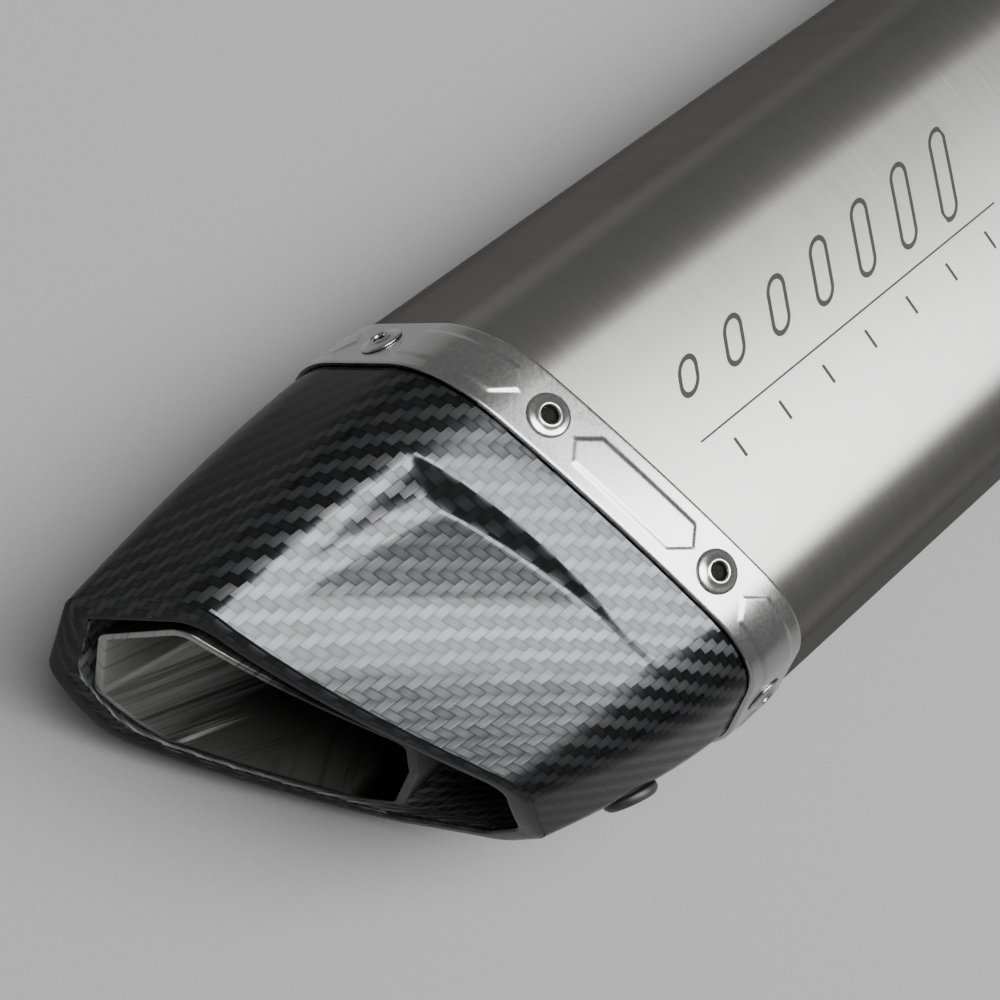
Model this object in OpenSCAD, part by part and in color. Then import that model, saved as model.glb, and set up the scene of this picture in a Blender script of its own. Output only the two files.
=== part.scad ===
// Slip-on racing silencer: hexagonal titanium sleeve, carbon end cap with a slash-cut mouth.
// Frame: origin at the centre of the inlet face, +Y out of the inlet, the outlet towards -Y,
// +Z up with the silencer lying on one flat. Millimetres.

/* [Sleeve] */
// distance from the axis to each rounded nose, half the overall width
body_half_w = 60; // [50:0.5:70]
// distance from the axis to the middle of each bowed flat
body_half_h = 48.5; // [40:0.5:60]
// radius of the two noses
nose_r = 34; // [20:1:60]
// radius of the four shoulders between a flat and a side
shoulder_r = 25; // [12:1:35]
// radius of the slight bow of the two flats
flat_r = 350; // [150:10:900]
// lean of the four sloping sides, the angle of their normal above the horizontal
side_lean = 22; // [10:1:35]
// sleeve sheet thickness
sleeve_t = 1; // [0.6:0.1:1.6]
// sleeve length along the axis
sleeve_len = 300; // [200:5:420]

/* [Bands and rivets] */
// width of the two riveted bands
band_w = 15.8; // [10:0.2:25]
// band sheet thickness
band_t = 1; // [0.6:0.1:1.5]
// slant of the outlet band and of the sleeve's outlet end
band_slant = 12.4; // [0:0.1:25]
// height of the pressed pads on the bands
pad_rise = 0.6; // [0.2:0.1:1.2]
// width of the pressed pads
pad_w = 8.6; // [4:0.2:12]
// rivet head radius, a 4.8 mm blind rivet
rivet_head_r = 4.75; // [3:0.05:7]
// rivet head height
rivet_head_h = 1.3; // [0.8:0.1:2]
// rivet shank radius
rivet_r = 2.4; // [1.5:0.1:3.2]
// distance along the surface from a flat's middle to its two rivets
rivet_s_flat = 22.9; // [15:0.1:28]
// distance along the surface from a flat's middle to the rivet on the sloping side
rivet_s_side = 68; // [60:0.5:74]

/* [End cap] */
// how far the middle of the mouth stands in front of the outlet band
mouth_reach = 69.3; // [40:0.1:90]
// slope of the mouth's cut across the width, at the axis
mouth_slope_x = 0.603; // [0:0.001:1]
// slope of the mouth's cut up the height, at the axis
mouth_slope_z = 0.106; // [-0.4:0.001:0.6]
// curve of the cut across the width
mouth_curve_x = 0.0022; // [0:0.0001:0.01]
// curve of the cut up the height
mouth_curve_z = 0.00125; // [0:0.00001:0.01]
// twist of the cut from one nose to the other
mouth_twist = -0.00308; // [-0.01:0.00001:0.01]
// fading of the slope towards the two noses
mouth_fade = 0.0000208; // [0:0.0000001:0.0001]
// how the cap's taper gathers towards the mouth, 1 for straight sides
cap_ease = 1.45; // [1:0.05:2.5]
// cap wall thickness
cap_t = 2.2; // [1.5:0.1:4]
// width of the carbon rim round the mouth
rim_w = 5.2; // [2:0.1:7]
// depth of the turned-in lip behind the rim
lip_depth = 2.2; // [1:0.1:5]
// greatest depth of the scoop pressed into the top
scoop_depth = 6; // [0:0.5:12]
// steepness of the scoop's step along the band
scoop_step = 1.0; // [0.3:0.1:2]
// steepness of the scoop's side wall
scoop_wall = 0.6; // [0.3:0.1:2]
// length of the cap skirt hidden under the sleeve
skirt_len = 14; // [8:0.5:20]

/* [Outlet inside] */
// liner sheet thickness
liner_t = 1.8; // [0.8:0.1:2.5]
// radius of the liner where it meets the bulkhead
liner_root_r = 27; // [22:0.5:34]
// how far the liner's edge lies behind the carbon rim
liner_recess = 3; // [0:0.5:8]
// outer radius of the removable baffle
baffle_r = 16; // [12:0.5:17]
// baffle length
baffle_len = 96; // [60:1:140]

/* [Core and packing] */
// inner radius of the perforated core tube
core_r = 25; // [20:0.5:28]
// core tube wall
core_t = 1; // [0.6:0.1:1.6]
// rows of perforations
core_rows = 12; // [4:1:20]
// perforations in a row
core_row_holes = 8; // [4:1:12]
// radius of a perforation
core_hole_r = 2.5; // [1:0.1:4]
// thickness of the steel wool round the core
wool_t = 5; // [3:0.5:10]

/* [Inlet] */
// length of the pressed inlet cap in front of the sleeve
inlet_cap_len = 34; // [20:1:60]
// length of inlet tube outside the cap
inlet_tube_len = 46; // [30:1:80]
// bore radius of the inlet tube, for a 50.8 mm link pipe
inlet_r = 25.45; // [20:0.05:32]
// inlet tube wall
inlet_t = 1.5; // [1:0.1:2.5]

/* [Hanger] */
// distance from the outlet band to the middle of the hanger strap
strap_pos = 228; // [40:1:260]
// strap width
strap_w = 25; // [15:1:35]
// strap sheet thickness
strap_t = 1.5; // [1:0.1:2.5]
// thickness of the rubber under the strap
strap_rubber_t = 1.5; // [1:0.1:3]
// bore radius of the hanger eye, for an M8 bolt
hanger_r = 4.2; // [4:0.05:6.2]

/* [Rubber bung] */
// radius of the bung's domed head
bung_r = 6.6; // [5:0.1:9]
// height of the bung's head
bung_h = 5.2; // [2:0.1:6]
// radius of the hole it plugs
bung_hole_r = 4.3; // [2.5:0.1:6]
// tilt of the hole's axis towards the outlet
bung_tilt = 12.9; // [0:0.5:30]

/* [Hidden] */
$fn = 64;
fit_gap = 0.15;
sleeve_inset = 1;
slant = tan(band_slant);
inlet_face_y = 0;
sleeve_in_y = -inlet_tube_len - inlet_cap_len;
band_y = sleeve_in_y - sleeve_len;
mouth_y = band_y - mouth_reach;
strap_y = band_y + strap_pos;
out_plate_y = band_y + 30;
in_plate_y = sleeve_in_y - 24;
inlet_stop_y = -inlet_tube_len + 2;
plate_t = 1.5;
arc_n = 6;
edge_n = 3;
flat_n = 7;
loft_n = 15;
pack_gap = 0.4;
screw_boss_r = 6;

// ---------- the hexagonal section, as a chain of tangent arcs ----------
function dir(a) = [cos(a), sin(a)];
function mix(a, b, t) = a + (b - a) * t;
function rev(v) = [for (i = [len(v) - 1:-1:0]) v[i]];
function flip_x(v) = [for (p = v) [-p[0], p[1]]];
function flip_z(v) = [for (p = v) [p[0], -p[1]]];

nose_c = [body_half_w - nose_r, 0];
flat_c = [0, body_half_h - flat_r];
side_dir = [-sin(side_lean), cos(side_lean)];
side_0 = nose_c + nose_r * dir(side_lean);
side_q = side_0 - shoulder_r * dir(side_lean) - flat_c;
side_k = flat_r - shoulder_r;
side_b = side_q * side_dir;
side_len = sqrt(side_b * side_b - side_q * side_q + side_k * side_k) - side_b;
shoulder_c = flat_c + side_q + side_len * side_dir;
flat_edge = atan2(shoulder_c[1] - flat_c[1], shoulder_c[0] - flat_c[0]);

// one quarter of the section at offset d, from the nose to just before the flat's middle
function quarter(d) = concat(
    [for (i = [0:arc_n]) nose_c + (nose_r + d) * dir(side_lean * i / arc_n)],
    [for (i = [1:edge_n]) nose_c + (nose_r + d) * dir(side_lean)
        + side_len * side_dir * i / (edge_n + 1)],
    [for (i = [0:arc_n]) shoulder_c + (shoulder_r + d)
        * dir(mix(side_lean, flat_edge, i / arc_n))],
    [for (i = [1:flat_n - 1]) flat_c + (flat_r + d) * dir(mix(flat_edge, 90, i / flat_n))]);

// join four quarters into one ring; each runs from its nose point to its flat point
function ring4(tr, tl, bl, br, top_mid, bottom_mid) = concat(
    tr, [top_mid], rev([for (i = [1:len(tl) - 1]) tl[i]]),
    bl, [bottom_mid], rev([for (i = [1:len(br) - 1]) br[i]]));
function section(d) = ring4(quarter(d), flip_x(quarter(d)), flip_x(flip_z(quarter(d))),
    flip_z(quarter(d)), [0, body_half_h + d], [0, -body_half_h - d]);

// point and normal angle at distance s along the surface from the flat's middle
flat_s = flat_r * (90 - flat_edge) * PI / 180;
shoulder_s = shoulder_r * (flat_edge - side_lean) * PI / 180;
function turn_at(s) = s < flat_s ? 90 - s / flat_r * 180 / PI
    : s < flat_s + shoulder_s ? flat_edge - (s - flat_s) / shoulder_r * 180 / PI
    : s < flat_s + shoulder_s + side_len ? side_lean
    : side_lean - (s - flat_s - shoulder_s - side_len) / nose_r * 180 / PI;
function point_at(s, d) = s < flat_s ? flat_c + (flat_r + d) * dir(turn_at(s))
    : s < flat_s + shoulder_s ? shoulder_c + (shoulder_r + d) * dir(turn_at(s))
    : s < flat_s + shoulder_s + side_len ? shoulder_c + (shoulder_r + d) * dir(side_lean)
        - side_dir * (s - flat_s - shoulder_s)
    : nose_c + (nose_r + d) * dir(turn_at(s));
quarter_s = flat_s + shoulder_s + side_len + nose_r * side_lean * PI / 180;

// ---------- the mouth of the cap and of the liner ----------
// corners seen along the axis, each [x, z, fillet radius], round from the right nose's upper one
cap_corners = [[48.6, 11.3, 6], [33.4, 39.55, 9], [-34.7, 39.55, 9], [-50, 11.3, 6],
    [-42, -16, 14], [-22, -38.7, 16], [33.4, -39.55, 9], [48.6, -11.3, 6]];
liner_corners = [[20.6, 14.8, 6], [13.5, 30.5, 4], [-32.5, 25.8, 5], [-41, 4.5, 5],
    [-32.4, -19.8, 6], [-13, -33.5, 6], [24, -32, 6], [29.2, -20, 6]];

function unit(v) = v / norm(v);
function flat_xz(v) = [v[0], v[1]];
// fillet at corner q between its neighbours p and s, moved inwards by an inset
function fillet(p, q, s, inset) =
    let (a = unit(flat_xz(p - q)), b = unit(flat_xz(s - q)),
        half = acos(max(-1, min(1, a * b))) / 2,
        bis = unit(a + b), c = flat_xz(q) + bis * (q[2] + inset) / sin(half),
        n0 = -(bis - a * (a * bis)), n1 = -(bis - b * (b * bis)),
        t0 = atan2(n0[1], n0[0]), t1 = atan2(n1[1], n1[0]),
        sweep = (t1 - t0 + 540) % 360 - 180)
    [for (i = [0:arc_n]) c + q[2] * dir(t0 + sweep * i / arc_n)];
// one quarter: from a nose corner over the straight side to the next corner
function mouth_quarter(start, nose, corner, stop, inset) =
    let (f0 = fillet(start, nose, corner, inset), f1 = fillet(nose, corner, stop, inset))
    concat(f0, [for (i = [1:edge_n]) mix(f0[arc_n], f1[0], i / (edge_n + 1))], f1);
// stretch from a quarter's last point to the middle point of the top or bottom edge
function run_out(q, stop) = concat(q,
    [for (i = [1:flat_n - 1]) mix(q[len(q) - 1], stop, i / flat_n)]);
function mouth_ring(c, inset) =
    let (q_tr = mouth_quarter(c[7], c[0], c[1], c[2], inset),
        q_tl = mouth_quarter(c[4], c[3], c[2], c[1], inset),
        q_bl = mouth_quarter(c[3], c[4], c[5], c[6], inset),
        q_br = mouth_quarter(c[0], c[7], c[6], c[5], inset),
        top = mix(q_tr[len(q_tr) - 1], q_tl[len(q_tl) - 1], 0.5),
        bottom = mix(q_br[len(q_br) - 1], q_bl[len(q_bl) - 1], 0.5))
    ring4(run_out(q_tr, top), run_out(q_tl, top), run_out(q_bl, bottom), run_out(q_br, bottom),
        top, bottom);

// ---------- rings in space ----------
function on_band(v, y) = [for (p = v) [p[0], y + slant * p[0], p[1]]];
function square_on(v, y) = [for (p = v) [p[0], y, p[1]]];
function cut_at(x, z) = mouth_slope_x * x + mouth_slope_z * z + mouth_curve_x * x * x
    + mouth_curve_z * z * z + mouth_twist * x * z - mouth_fade * x * x * x;
function on_mouth(v, back) = [for (p = v) [p[0], mouth_y + back + cut_at(p[0], p[1]), p[1]]];
function between(a, b, t) = [for (i = [0:len(a) - 1]) mix(a[i], b[i], t)];
// between two rings, evenly along the axis, but leaving ring a square to it
function eased(a, b, t) = let (g = pow(t, cap_ease)) [for (i = [0:len(a) - 1])
    [mix(a[i][0], b[i][0], g), mix(a[i][1], b[i][1], t), mix(a[i][2], b[i][2], g)]];

// scoop: a sunk triangle with its deep corner near the band
scoop_deep = [-32, -24];
scoop_right = [20, -11.4];
scoop_left = [-32.5, -76];
function cross2(a, b) = a[0] * b[1] - a[1] * b[0];
function line_dist(p, a, b) = cross2(b - a, p - a) / norm(b - a);
function scoop_at(x, y) =
    let (p = [x, y],
        share = line_dist(p, scoop_left, scoop_right)
            / line_dist(scoop_deep, scoop_left, scoop_right))
    max(0, min(scoop_depth * share, scoop_step * line_dist(p, scoop_right, scoop_deep),
        scoop_wall * line_dist(p, scoop_deep, scoop_left)));
function scooped(v) = [for (p = v)
    p[2] > 5 ? p - [0, 0, scoop_at(p[0], p[1] - band_y)] : p];

// closed tube of rings: every ring joins the next and the last joins the first
module ring_body(rings) {
    n = len(rings[0]);
    m = len(rings);
    points = [for (r = rings) for (p = r) p];
    faces = [for (j = [0:m - 1]) for (i = [0:n - 1])
        let (a = j * n + i, b = j * n + (i + 1) % n,
            c = ((j + 1) % m) * n + (i + 1) % n, d = ((j + 1) % m) * n + i)
        each [[a, b, c], [a, c, d]]];
    polyhedron(points, faces, convexity = 10);
}

// ---------- helpers ----------
// extrude a drawing made in X and Z along +Y from y0 to y1
module along_y(y0, y1) {
    translate([0, y1, 0]) rotate([90, 0, 0]) linear_extrude(y1 - y0) children();
}
module tube_y(r_out, r_in, y0, y1) {
    along_y(y0, y1) difference() {
        circle(r_out);
        circle(r_in);
    }
}
module hex_ring(d_out, d_in, y0, y1) {
    along_y(y0, y1) difference() {
        polygon(section(d_out));
        polygon(section(d_in));
    }
}
// everything behind the slanted plane that crosses the axis at y
module behind_slant(y) {
    translate([0, y, 0]) rotate([0, 0, band_slant]) translate([-150, 0, -150])
        cube([300, 700, 300]);
}
// copy children at the eight rivet places: children look along +Z of the local surface
module at_surface(s, sx, sz, d, y) {
    p = point_at(s, d);
    on_sheet = point_at(s, 0);
    mirror([sx < 0 ? 1 : 0, 0, 0]) mirror([0, 0, sz < 0 ? 1 : 0])
        translate([p[0], y + sx * on_sheet[0] * slant_at(y), p[1]])
            rotate([0, 90 - turn_at(s), 0]) children();
}
function slant_at(y) = y < band_y + 60 ? slant : 0;
module at_rivets(d, y) {
    for (sx = [-1, 1], sz = [-1, 1], s = [rivet_s_flat, rivet_s_side])
        at_surface(s, sx, sz, d, y) children();
}
module rivet_holes(y) {
    at_rivets(0, y) cylinder(r = rivet_r + 0.1, h = 12, center = true);
}
module rivet_body() {
    rotate_extrude() polygon([[1.75, -6.4], [3, -6.2], [3.1, -5.6], [rivet_r, -4.5],
        [rivet_r, 0], [rivet_head_r, 0], [rivet_head_r, 0.35], [3.9, 0.95], [2.9, rivet_head_h],
        [2.1, rivet_head_h], [1.75, rivet_head_h - 0.35]]);
}
module rivet_stem() {
    rotate_extrude() polygon([[0, -7.6], [1.4, -7.4], [1.6, -6.6], [1.55, -0.7], [1.2, -0.35],
        [0, -0.2]]);
}
// long hexagon of a pressed pad
module pad_outline(length, width) {
    polygon([for (sx = [1, -1], k = [0, 1, 2]) sx * [k == 1 ? length / 2
        : length / 2 - width / 2 * 0.8, (1 - k) * width / 2]]);
}
module pad(s, sx, sz, length, y) {
    intersection() {
        hex_ring(band_t + pad_rise, band_t - 0.3, band_y - 30, sleeve_in_y + 30);
        at_surface(s, sx, sz, 0, y) translate([0, 0, -2])
            linear_extrude(8) pad_sheared(length, y, sx);
    }
}
module pad_sheared(length, y, sx) {
    multmatrix([[1, 0, 0, 0], [sx * slant_at(y), 1, 0, 0], [0, 0, 1, 0], [0, 0, 0, 1]])
        pad_outline(length, pad_w);
}
module pads(y) {
    for (sz = [-1, 1]) {
        pad(0, 1, sz, 32, y);
        for (sx = [-1, 1]) pad((rivet_s_flat + rivet_s_side) / 2, sx, sz, 30, y);
    }
    for (sx = [-1, 1]) pad(quarter_s, sx, 1, 27, y);
}

// ---------- the pieces ----------
module sleeve() {
    color([0.72, 0.70, 0.68]) difference() {
        hex_ring(0, -sleeve_t, band_y - 30, sleeve_in_y);
        difference() {
            translate([-150, band_y - 80, -150]) cube([300, 120, 300]);
            behind_slant(band_y + sleeve_inset);
        }
        rivet_holes(band_y + band_w / 2);
        rivet_holes(sleeve_in_y - band_w / 2);
    }
}

module end_cap() {
    outer_root = on_band(section(-0.15), band_y);
    outer_mouth = on_mouth(mouth_ring(cap_corners, 0), 0);
    lip = mouth_ring(cap_corners, rim_w);
    inner_wall = on_mouth(mouth_ring(cap_corners, cap_t + 0.3), lip_depth + 2.4);
    inner_root = on_band(section(-sleeve_t - cap_t), band_y);
    color([0.12, 0.12, 0.13]) difference() {
        ring_body(concat(
            [on_band(section(-sleeve_t - fit_gap), band_y + skirt_len)],
            [on_band(section(-sleeve_t - fit_gap), band_y + 0.6)],
            [for (i = [0:loft_n]) scooped(eased(outer_root, outer_mouth, i / loft_n))],
            [on_mouth(lip, 0.4), on_mouth(lip, lip_depth)],
            [for (i = [loft_n:-1:0]) scooped(eased(inner_root, inner_wall, i / loft_n))],
            [on_band(section(-sleeve_t - cap_t), band_y + skirt_len)]));
        rivet_holes(band_y + band_w / 2);
        bung_place() cylinder(r = bung_hole_r, h = 20, center = true);
    }
}

bung_y = band_y - 10.4;
bung_x = 56.1;
module bung_place() {
    translate([bung_x, bung_y, 0]) rotate([0, 0, -bung_tilt]) rotate([0, 90, 0]) children();
}
module rubber_bung() {
    color([0.05, 0.05, 0.05]) bung_place() rotate_extrude() polygon([
        [0, -6.4], [3.6, -6.4], [4, -5.4], [3.7, -4.2], [3.7, 0.9], [bung_r, 1.1],
        [bung_r, bung_h * 0.5], [bung_r * 0.9, bung_h * 0.7], [bung_r * 0.64, bung_h * 0.94],
        [0, bung_h]]);
}

module outlet_liner() {
    mouth_c = [-6, 0];
    edge = mouth_ring(liner_corners, 0);
    edge_in = mouth_ring(liner_corners, liner_t);
    function root_circle(r) = [for (p = edge) r * unit(p - mouth_c)];
    color([0.62, 0.62, 0.62]) difference() {
        ring_body(concat(
            [square_on(root_circle(liner_root_r), out_plate_y)],
            [for (i = [0:6]) between(square_on(root_circle(liner_root_r), band_y + 4),
                on_mouth(edge, liner_recess), i / 6)],
            [for (i = [6:-1:0]) between(
                square_on(root_circle(liner_root_r - liner_t), band_y + 4),
                on_mouth(edge_in, liner_recess), i / 6)],
            [square_on(root_circle(liner_root_r - liner_t), out_plate_y)]));
        translate([30, screw_y, 0]) rotate([0, 90, 0])
            cylinder(r = screw_boss_r + 0.5, h = 30, center = true);
    }
}

module outlet_bulkhead() {
    color([0.6, 0.6, 0.6]) difference() {
        union() {
            along_y(out_plate_y, out_plate_y + plate_t) polygon(section(-sleeve_t - 0.4));
            hex_ring(-sleeve_t - 0.4, -sleeve_t - 2, out_plate_y, out_plate_y + 10);
        }
        along_y(out_plate_y - 1, out_plate_y + plate_t + 1) circle(baffle_r + 2.1);
    }
}

screw_y = bung_y;
module baffle_holder() {
    color([0.6, 0.6, 0.6]) difference() {
        union() {
            tube_y(baffle_r + 2, baffle_r + 0.1, screw_y - 9, out_plate_y + 14);
            translate([baffle_r, screw_y, 0]) rotate([0, 90, 0]) cylinder(r = screw_boss_r, h = 7);
        }
        along_y(screw_y - 20, out_plate_y + 20) circle(baffle_r + 0.1);
        translate([0, screw_y, 0]) rotate([0, 90, 0]) cylinder(r = 3, h = 40);
    }
}

module baffle_screw() {
    color([0.7, 0.7, 0.7]) translate([baffle_r + 0.1, screw_y, 0]) rotate([0, 90, 0])
        difference() {
            union() {
                cylinder(r = 2.95, h = 15);
                translate([0, 0, 15]) cylinder(r = 5, h = 6);
            }
            translate([0, 0, 17.5]) cylinder(r = 2.9, h = 5, $fn = 6);
        }
}

module baffle() {
    y1 = screw_y - 7 + baffle_len;
    color([0.58, 0.58, 0.58]) difference() {
        union() {
            tube_y(baffle_r, baffle_r - 1.5, screw_y - 7, screw_y + 30);
            translate([0, y1, 0]) rotate([90, 0, 0]) rotate_extrude() polygon([
                [12, 0], [13, 0], [13, baffle_len - 44], [15.9, baffle_len - 38],
                [15.9, baffle_len - 36], [14.6, baffle_len - 36], [12, baffle_len - 42]]);
            along_y(y1 - 1.2, y1) circle(12.5);
        }
        for (j = [0:4], a = [0:60:300])
            translate([0, screw_y + 46 + j * 9, 0]) rotate([0, a + j * 30, 0])
                cylinder(r = 1.8, h = 20);
    }
}

module core_tube() {
    y0 = out_plate_y + plate_t + 0.3;
    y1 = in_plate_y + plate_t + 6;
    pitch = (y1 - y0 - 24) / core_rows;
    color([0.6, 0.6, 0.6]) difference() {
        tube_y(core_r + core_t, core_r, y0, y1);
        for (j = [0:core_rows - 1], k = [0:core_row_holes - 1])
            translate([0, y0 + 12 + (j + 0.5) * pitch, 0])
                rotate([0, (k + (j % 2) / 2) * 360 / core_row_holes, 0])
                    cylinder(r = core_hole_r, h = core_r + 4, $fn = 24);
    }
}

module steel_wool() {
    color([0.45, 0.45, 0.45]) tube_y(core_r + core_t + 0.3 + wool_t, core_r + core_t + 0.3,
        out_plate_y + 11, in_plate_y - 11);
}

module packing() {
    color([0.85, 0.82, 0.7]) along_y(out_plate_y + 11, in_plate_y - 11) difference() {
        polygon(section(-sleeve_t - pack_gap));
        circle(core_r + core_t + 0.6 + wool_t);
    }
}

module inlet_bulkhead() {
    color([0.6, 0.6, 0.6]) difference() {
        union() {
            along_y(in_plate_y - plate_t, in_plate_y) polygon(section(-sleeve_t - 0.4));
            hex_ring(-sleeve_t - 0.4, -sleeve_t - 2, in_plate_y - 10, in_plate_y);
        }
        along_y(in_plate_y - plate_t - 1, in_plate_y + 1) circle(core_r + core_t + 0.1);
    }
}

module inlet_cap() {
    collar_r = inlet_r + inlet_t + 0.05;
    function round_ring(r) = [for (p = section(0)) r * unit(p)];
    color([0.62, 0.62, 0.62]) difference() {
        ring_body([
            square_on(section(-sleeve_t - fit_gap), sleeve_in_y - 16),
            square_on(section(-sleeve_t - fit_gap), sleeve_in_y + 0.4),
            square_on(section(-0.3), sleeve_in_y + 0.6),
            square_on(section(-1.2), sleeve_in_y + 3),
            square_on(round_ring(collar_r + 4.5), sleeve_in_y + inlet_cap_len - 8),
            square_on(round_ring(collar_r + 1.5), sleeve_in_y + inlet_cap_len - 5),
            square_on(round_ring(collar_r + 1.4), sleeve_in_y + inlet_cap_len),
            square_on(round_ring(collar_r), sleeve_in_y + inlet_cap_len),
            square_on(round_ring(collar_r), sleeve_in_y + inlet_cap_len - 6),
            square_on(round_ring(collar_r + 2.8), sleeve_in_y + inlet_cap_len - 9.5),
            square_on(section(-2.9), sleeve_in_y + 1.4),
            square_on(section(-sleeve_t - fit_gap - 1.4), sleeve_in_y - 16)]);
        rivet_holes(sleeve_in_y - band_w / 2);
    }
}

module outlet_band() {
    color([0.68, 0.68, 0.67]) difference() {
        intersection() {
            union() {
                hex_ring(band_t, 0.05, band_y - 20, band_y + 40);
                pads(band_y + band_w / 2);
            }
            difference() {
                behind_slant(band_y);
                behind_slant(band_y + band_w);
            }
        }
        rivet_holes(band_y + band_w / 2);
    }
}

module inlet_band() {
    y0 = sleeve_in_y - band_w;
    color([0.68, 0.68, 0.67]) difference() {
        intersection() {
            union() {
                hex_ring(band_t, 0.05, y0, sleeve_in_y);
                pads(y0 + band_w / 2);
            }
            translate([-100, y0, -100]) cube([200, band_w, 200]);
        }
        rivet_holes(y0 + band_w / 2);
    }
}

module outlet_rivets() {
    color([0.8, 0.8, 0.8]) at_rivets(band_t, band_y + band_w / 2) rivet_body();
}
module outlet_rivet_stems() {
    color([0.3, 0.3, 0.3]) at_rivets(band_t, band_y + band_w / 2) rivet_stem();
}
module inlet_rivets() {
    color([0.8, 0.8, 0.8]) at_rivets(band_t, sleeve_in_y - band_w / 2) rivet_body();
}
module inlet_rivet_stems() {
    color([0.3, 0.3, 0.3]) at_rivets(band_t, sleeve_in_y - band_w / 2) rivet_stem();
}

module inlet_tube() {
    slot_len = 24;
    color([0.66, 0.65, 0.63]) difference() {
        union() {
            tube_y(inlet_r + inlet_t, inlet_r, inlet_stop_y, inlet_face_y - 3);
            tube_y(inlet_r + inlet_t, core_r, in_plate_y + 12, inlet_stop_y);
            translate([0, inlet_face_y, 0]) rotate([90, 0, 0]) rotate_extrude() polygon([
                [inlet_r, 0], [inlet_r + inlet_t + 0.4, 0],
                [inlet_r + inlet_t + 0.9, 1], [inlet_r + inlet_t + 0.9, 3],
                [inlet_r + inlet_t, 4], [inlet_r, 4]]);
        }
        for (a = [45, 135]) rotate([0, a, 0])
            translate([-50, inlet_face_y - slot_len, -1]) cube([100, slot_len + 5, 2]);
    }
}

module spring_hooks() {
    hook_wire_r = 2;
    loop_r = 5;
    for (side = [-1, 1]) color([0.66, 0.65, 0.63]) mirror([side < 0 ? 1 : 0, 0, 0])
        translate([inlet_r + inlet_t, -inlet_tube_len + 14, 0]) difference() {
            union() {
                translate([2 + loop_r, 0, 0]) rotate_extrude()
                    translate([loop_r, 0]) circle(hook_wire_r, $fn = 32);
                translate([0, 0, 0]) rotate([0, 90, 0]) cylinder(r = 3.4, h = 2.6);
            }
            translate([-inlet_r - inlet_t, 0, 0]) rotate([90, 0, 0])
                cylinder(r = inlet_r + inlet_t + 0.05, h = 40, center = true);
        }
}

lug_out = 40;
lug_gap = 11;
strap_in = 0.2 + strap_rubber_t;
lug_x = -body_half_w - strap_in;
pinch_x = lug_x - 13;
eye_x = lug_x - 29;
module lug_profile() {
    for (sz = [-1, 1])
        translate([lug_x - lug_out, sz > 0 ? lug_gap / 2 : -lug_gap / 2 - strap_t])
            square([lug_out + 3.4, strap_t]);
}
module strap() {
    color([0.66, 0.66, 0.66]) difference() {
        union() {
            along_y(strap_y - strap_w / 2, strap_y + strap_w / 2) difference() {
                union() {
                    polygon(section(strap_in + strap_t));
                    lug_profile();
                }
                polygon(section(strap_in));
                translate([lug_x - 10, -lug_gap / 2]) square([24, lug_gap]);
            }
        }
        for (x = [pinch_x, eye_x]) translate([x, strap_y, 0])
            cylinder(r = x == pinch_x ? 3.3 : hanger_r, h = 60, center = true);
        for (sy = [-1, 1]) translate([lug_x - lug_out, strap_y + sy * strap_w / 2, 0])
            rotate([0, 0, 45]) cube([9, 9, 60], center = true);
    }
}
module strap_rubber() {
    color([0.06, 0.06, 0.06]) along_y(strap_y - strap_w / 2 - 1.5, strap_y + strap_w / 2 + 1.5)
        difference() {
            polygon(section(strap_in - 0.1));
            polygon(section(0.1));
            translate([lug_x - 10, -lug_gap / 2 + 0.5]) square([20, lug_gap - 1]);
        }
}
lug_top = lug_gap / 2 + strap_t;
washer_t = 1.6;
module strap_bolt() {
    color([0.75, 0.75, 0.75]) translate([pinch_x, strap_y, 0]) difference() {
        union() {
            translate([0, 0, -lug_top - washer_t - 9]) cylinder(r = 2.95, h = 2 * lug_top + washer_t + 9
                + washer_t + 0.02);
            translate([0, 0, lug_top + washer_t + 0.02]) cylinder(r = 5, h = 6);
        }
        translate([0, 0, lug_top + washer_t + 2.6]) cylinder(r = 2.9, h = 5, $fn = 6);
    }
}
module strap_nut() {
    color([0.72, 0.72, 0.72]) translate([pinch_x, strap_y, -lug_top - washer_t - 6.05])
        difference() {
            union() {
                cylinder(r = 5.77, h = 4.6, $fn = 6);
                cylinder(r = 5.6, h = 6);
            }
            translate([0, 0, -1]) cylinder(r = 3, h = 10);
        }
}
module strap_washers() {
    color([0.74, 0.74, 0.74]) for (z = [lug_top + 0.01, -lug_top - washer_t - 0.01])
        translate([pinch_x, strap_y, z]) difference() {
            cylinder(r = 6, h = washer_t);
            translate([0, 0, -1]) cylinder(r = 3.2, h = washer_t + 2);
        }
}
module hanger_bush() {
    color([0.7, 0.7, 0.7]) translate([eye_x, strap_y, -lug_gap / 2 + 0.02]) difference() {
        cylinder(r = 8, h = lug_gap - 0.04);
        translate([0, 0, -1]) cylinder(r = hanger_r, h = lug_gap + 2);
    }
}

sleeve();
end_cap();
outlet_liner();
outlet_bulkhead();
baffle_holder();
outlet_band();
outlet_rivets();
outlet_rivet_stems();
rubber_bung();
baffle();
baffle_screw();
core_tube();
steel_wool();
packing();
inlet_bulkhead();
inlet_cap();
inlet_band();
inlet_rivets();
inlet_rivet_stems();
inlet_tube();
spring_hooks();
strap();
strap_rubber();
strap_bolt();
strap_nut();
strap_washers();
hanger_bush();
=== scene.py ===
"""Looks for the hexagonal racing silencer: brushed titanium sleeve, twill carbon end cap,
riveted bands, liner, bung and inlet cap are built here; the other CAD nodes get materials.
Lengths are millimetres in the frame of the CAD model and become metres when a mesh is made."""

import math

import bmesh
import bpy
import numpy as np
from mathutils import Matrix, Vector


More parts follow.
